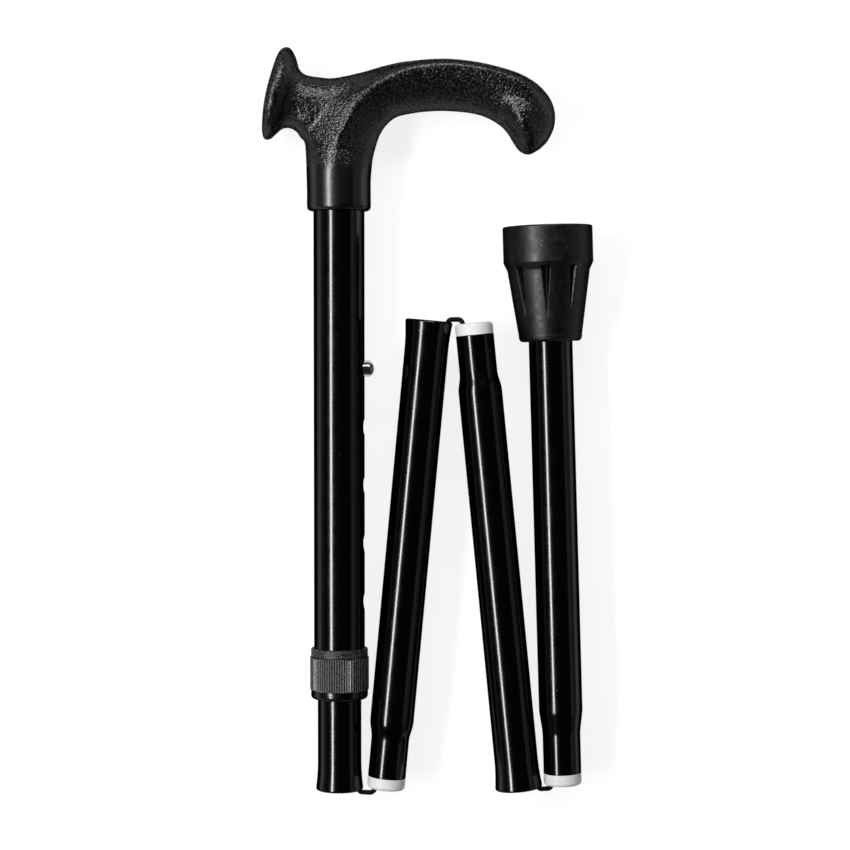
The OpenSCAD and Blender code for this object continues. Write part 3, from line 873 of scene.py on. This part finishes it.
# Ferrule, measured along section 4
FERRULE_LEN = 50
BAND_H = 15.7
BASE_R = 19.5
LEDGE_R = 17.9
LEDGE_H = 3.4
MOUTH_R = 13.6
MOUTH_ROUND = 1.8

# The bead at the mouth, each row [swell, way along], and the rows of the taper and of the ledge's slope
MOUTH_LINE = [(0.04, 0.05), (0.3, 0.3), (0.1, 0.9)]
TAPER_ROWS = 40
SLOPE_ROWS = (0.3, 0.6, 0.9, 1.2, 1.49, 1.6, 1.9)
BORE_MARGIN = 2
FLOOR = 7.5
BASE_EDGE = 0.8
FLUTE_ROOT = 14.7
FLUTE_H = 23
FLUTE_RISE = 1.5
FLUTE_COUNT = 9
FLUTE_FROM = math.radians(173)
FLUTE_HALF = math.radians(30)
FLUTE_SOFT = 0.18
FLUTE_BLUNT = 0.006
TREADS = [(13, 14.5), (7, 8.5)]
TREAD_DEEP = 1.2
TREAD_ROUND = 0.25
FERRULE_SIDES = 504


def soft_min(a, b, soft):
    mix = max(soft - abs(a - b), 0) / soft
    return min(a, b) - mix * mix * soft / 4


def make_ferrule():
    base = (Vector(mount("ferrule_base")["pos_m"]) - STARTS[4]).length / MM
    mouth = base - FERRULE_LEN
    ledge = base - BAND_H
    foot = ledge - LEDGE_H

    def flutes(r, z, angle):
        """V-shaped flutes that run out as the taper gets thinner."""
        if r < MOUTH_R - BORE_MARGIN or z > foot + FLUTE_RISE or z < foot - FLUTE_H:
            return r
        step = 2 * math.pi / FLUTE_COUNT
        off = math.hypot((angle - FLUTE_FROM + step / 2) % step - step / 2, FLUTE_BLUNT)
        if off > FLUTE_HALF / 2:
            return r
        valley = FLUTE_ROOT * math.sin(FLUTE_HALF) / math.sin(FLUTE_HALF - off)
        return soft_min(r, valley, FLUTE_SOFT)

    edge = mouth + MOUTH_ROUND
    taper = [(MOUTH_R + swell, edge + along, 0) for swell, along in MOUTH_LINE]
    for row in range(2, TAPER_ROWS):
        share = row / TAPER_ROWS
        z = edge + share * (foot - edge)
        taper.append((MOUTH_R + share * (LEDGE_R - MOUTH_R), z, 0))
    slope = []
    for rise in SLOPE_ROWS:
        slope.append((LEDGE_R + rise / LEDGE_H * (BASE_R - LEDGE_R), foot + rise, 0))
    treads = []
    for inner, outer in TREADS:
        treads += [(outer, base, TREAD_ROUND), (outer, base - TREAD_DEEP, TREAD_ROUND)]
        treads += [(inner, base - TREAD_DEEP, TREAD_ROUND), (inner, base, TREAD_ROUND)]
    corners = [
        (0, base - FLOOR, 0),
        (SHAFT_R + PRESS_GAP, base - FLOOR, FINE),
        (SHAFT_R + PRESS_GAP, mouth, SOFT),
        (MOUTH_R, mouth, MOUTH_ROUND),
    ] + taper + [
        (LEDGE_R, foot, 0),
    ] + slope + [
        (BASE_R, ledge, BASE_EDGE),
        (BASE_R, base, BASE_EDGE),
    ] + treads + [(0, base, 0)]
    form = revolve(rounded(corners), FERRULE_SIDES, flutes)
    dress("fluted_ferrule", form, SECTION[4], "ferrule")


# Elastic cord: straight runs inside the sections and loops at the folds
CORD_R = 1.1
CORD_ROOM = 0.1
CORD_BEND = 2
LEG_REACH = 47
LEG_STRAIGHT = 2
CORD_SIDES = 24
CORD_STEP = 0.4
CORNER_PASSES = 3
CORNER_CUT = 0.25
BEND_STEP = 15
STRANDS = 6
STRAND_PITCH = 7.0
STRAND_DEPTH = 0.09


def evenly(path, step):
    """Points at equal steps along a path."""
    lengths = [0.0]
    for first, second in zip(path, path[1:]):
        lengths.append(lengths[-1] + (second - first).length)
    count = max(2, round(lengths[-1] / (step * MM)))
    points = []
    index = 0
    for number in range(count + 1):
        at = lengths[-1] * number / count
        while index < len(path) - 2 and lengths[index + 1] < at:
            index += 1
        share = (at - lengths[index]) / (lengths[index + 1] - lengths[index])
        points.append(path[index].lerp(path[index + 1], share))
    return points


def softened(path):
    """Cuts the corners of a path, with its ends kept."""
    for _ in range(CORNER_PASSES):
        inner = []
        for first, second in zip(path, path[1:]):
            inner += [first.lerp(second, CORNER_CUT), first.lerp(second, 1 - CORNER_CUT)]
        path = [path[0]] + inner + [path[-1]]
    return path


def braided(path):
    """A round cord along a path, with crossing strands raised on its cover."""
    form = bmesh.new()
    up = Vector((0, 0, 1))
    loops = []
    travelled = 0.0
    for index, point in enumerate(path):
        ahead = (path[min(index + 1, len(path) - 1)] - path[max(index - 1, 0)]).normalized()
        side = up.cross(ahead)
        if index:
            travelled += (point - path[index - 1]).length / MM
        turn = 2 * math.pi * travelled / STRAND_PITCH
        loop = []
        for corner in range(CORD_SIDES):
            angle = 2 * math.pi * corner / CORD_SIDES
            weave = math.cos(STRANDS * angle + turn) * math.cos(STRANDS * angle - turn)
            radius = (CORD_R - STRAND_DEPTH * (0.5 - 0.5 * weave)) * MM
            loop.append(form.verts.new(point + radius * (math.cos(angle) * side + math.sin(angle) * up)))
        loops.append(loop)
    for loop, following in zip(loops, loops[1:]):
        for corner in range(CORD_SIDES):
            nxt = (corner + 1) % CORD_SIDES
            form.faces.new((loop[corner], loop[nxt], following[nxt], following[corner]))
    form.faces.new(loops[0])
    form.faces.new(loops[-1])
    return form


def make_runs():
    for number in (1, 2, 3, 4):
        node_name = f"cord_{number}"
        ends = run_of(node_name, HEADINGS[number])
        form = braided(evenly(list(ends), CORD_STEP))
        dress(f"braided_run_{number}", form, Matrix(), node_name, steady=False)


def make_loops():
    for number in (1, 2, 3):
        here, following = HEADINGS[number], HEADINGS[number + 1]
        rim, start = RIMS[number], STARTS[number + 1]
        hinge = JOINTS[f"fold_{number}"]
        pivot = Vector(hinge["pos_m"])
        side = -hinge["axis"][2]
        out = (here - following).normalized()
        across = -side * Vector((out.y, -out.x, 0))
        rim_edge = rim + side * (SHAFT_BORE + BELL_FLARE) * MM * left_of(here)
        plug_edge = start + side * PLUG_BORE * MM * left_of(following)
        edges = [
            rim_edge,
            rim + side * (SHAFT_R + BELL_FLARE) * MM * left_of(here),
            plug_edge,
            start + side * (SWAGE_R - CAP_ROUND) * MM * left_of(following),
        ]
        clear = (CORD_R + CORD_ROOM) * MM
        bend = CORD_BEND * MM
        level = max((edge - pivot).dot(out) for edge in edges) + clear
        at_bell = (rim_edge - pivot).dot(across) - clear
        at_plug = (plug_edge - pivot).dot(across) + clear
        path = [rim - LEG_REACH * MM * here, rim - (LEG_REACH - LEG_STRAIGHT) * MM * here]
        for centre, turned in ((at_bell + bend, 180), (at_plug - bend, 90)):
            for degree in range(turned, turned - 91, -BEND_STEP):
                angle = math.radians(degree)
                sideways = centre + bend * math.cos(angle)
                path.append(pivot + sideways * across + (level - bend + bend * math.sin(angle)) * out)
        path += [start + (LEG_REACH - LEG_STRAIGHT) * MM * following, start + LEG_REACH * MM * following]
        form = braided(evenly(softened(path), CORD_STEP))
        node_name = f"cord_loop_{number}"
        made = piece(f"braided_loop_{number}", form, Matrix(), node_name, steady=False)
        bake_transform(made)


make_handle()
make_tubes()
make_plugs()
make_collar()
make_button()
make_inner_tube()
make_ferrule()
make_runs()
make_loops()


# Studio: the camera is in millimetres and degrees, the floor and the lamps are in metres and watts
scene = bpy.context.scene
scene.view_settings.view_transform = "Standard"

AIM = (37.3, -92.6)
CAMERA_FAR = 970
CAMERA_PITCH = 2
HALF_VIEW = 184.8
FLOOR_SIDE = 24
FLOOR_DROP = 0.0002
FLOOR_GLOW = 0.84
FLOOR_WHITE = 0.26
FILL = 0.12

# The sky seen directly: pale up to the first height, dark from the second
SKY_HEIGHTS = (0.16, 0.42)
SKY_LEVELS = (0.2, 0.02)

# Each lamp is [name, place, target, level side, sloping side, power]
LAMPS = [
    ("key", (-0.72, -0.02, 1.0), (-0.02, -0.02, 0.02), 0.95, 0.16, 12.0),
    ("top", (0.05, 0.62, 0.62), (0.03, 0.13, 0.02), 0.7, 0.11, 3.8),
    ("side", (1.2, 0, 0.62), (0, 0, 0.02), 1.2, 0.35, 0.35),
]


def seen_directly(tree):
    """One for camera, glossy and transmission rays, and zero for diffuse light."""
    path = add(tree, "LightPath")
    seen = calc(tree, "MAXIMUM", path.outputs["Is Camera Ray"], path.outputs["Is Glossy Ray"])
    return calc(tree, "MAXIMUM", seen, path.outputs["Is Transmission Ray"])


def make_floor():
    form = bmesh.new()
    half = FLOOR_SIDE / 2
    ends = ((-half, -half), (half, -half), (half, half), (-half, half))
    form.faces.new([form.verts.new((x, y, -FLOOR_DROP)) for x, y in ends])
    mesh = bpy.data.meshes.new("floor")
    form.to_mesh(mesh)
    form.free()
    floor = bpy.data.objects.new("floor", mesh)
    scene.collection.objects.link(floor)
    made, tree, shader = principled("pale_floor", Base_Color=grey(FLOOR_WHITE), Roughness=0.9,
                                    Specular_IOR_Level=0.0)
    feed(tree, shader, {
        "Emission Color": grey(1.0),
        "Emission Strength": calc(tree, "MULTIPLY", seen_directly(tree), FLOOR_GLOW),
    })
    mesh.materials.append(made)


def make_world():
    """Dim light all round; seen directly, a pale band at the horizon that darkens overhead."""
    world = bpy.data.worlds.new("studio")
    world.use_nodes = True
    scene.world = world
    tree = world.node_tree
    level = add(tree, "SeparateXYZ", {"Vector": add(tree, "TexCoord").outputs["Generated"]}).outputs["Z"]
    seen = seen_directly(tree)
    band = calc(tree, "MULTIPLY", seen, spread(tree, level, *SKY_HEIGHTS, *SKY_LEVELS))
    fill = calc(tree, "MULTIPLY", calc(tree, "SUBTRACT", 1.0, seen), FILL)
    feed(tree, tree.nodes["Background"], {"Color": grey(1.0), "Strength": calc(tree, "ADD", band, fill)})


def lamp(name, at, target, wide, tall, watts):
    """An area lamp from one point to another; wide is its level side, tall its sloping one."""
    light = bpy.data.lights.new(name, "AREA")
    light.shape = "RECTANGLE"
    light.size = wide
    light.size_y = tall
    light.energy = watts
    made = bpy.data.objects.new(name, light)
    made.location = at
    back = (Vector(at) - Vector(target)).normalized()
    made.rotation_mode = "QUATERNION"
    made.rotation_quaternion = back.to_track_quat("Z", "Y")
    made.visible_camera = False
    scene.collection.objects.link(made)


def make_camera():
    data = bpy.data.cameras.new("camera")
    data.angle = 2 * math.atan(HALF_VIEW / CAMERA_FAR)
    camera = bpy.data.objects.new("camera", data)
    pitch = math.radians(CAMERA_PITCH)
    camera.location = spot(*AIM) + CAMERA_FAR * MM * Vector((0, math.sin(pitch), math.cos(pitch)))
    camera.rotation_euler.x = -pitch
    scene.collection.objects.link(camera)
    scene.camera = camera


make_camera()
make_floor()
make_world()
for values in LAMPS:
    lamp(*values)
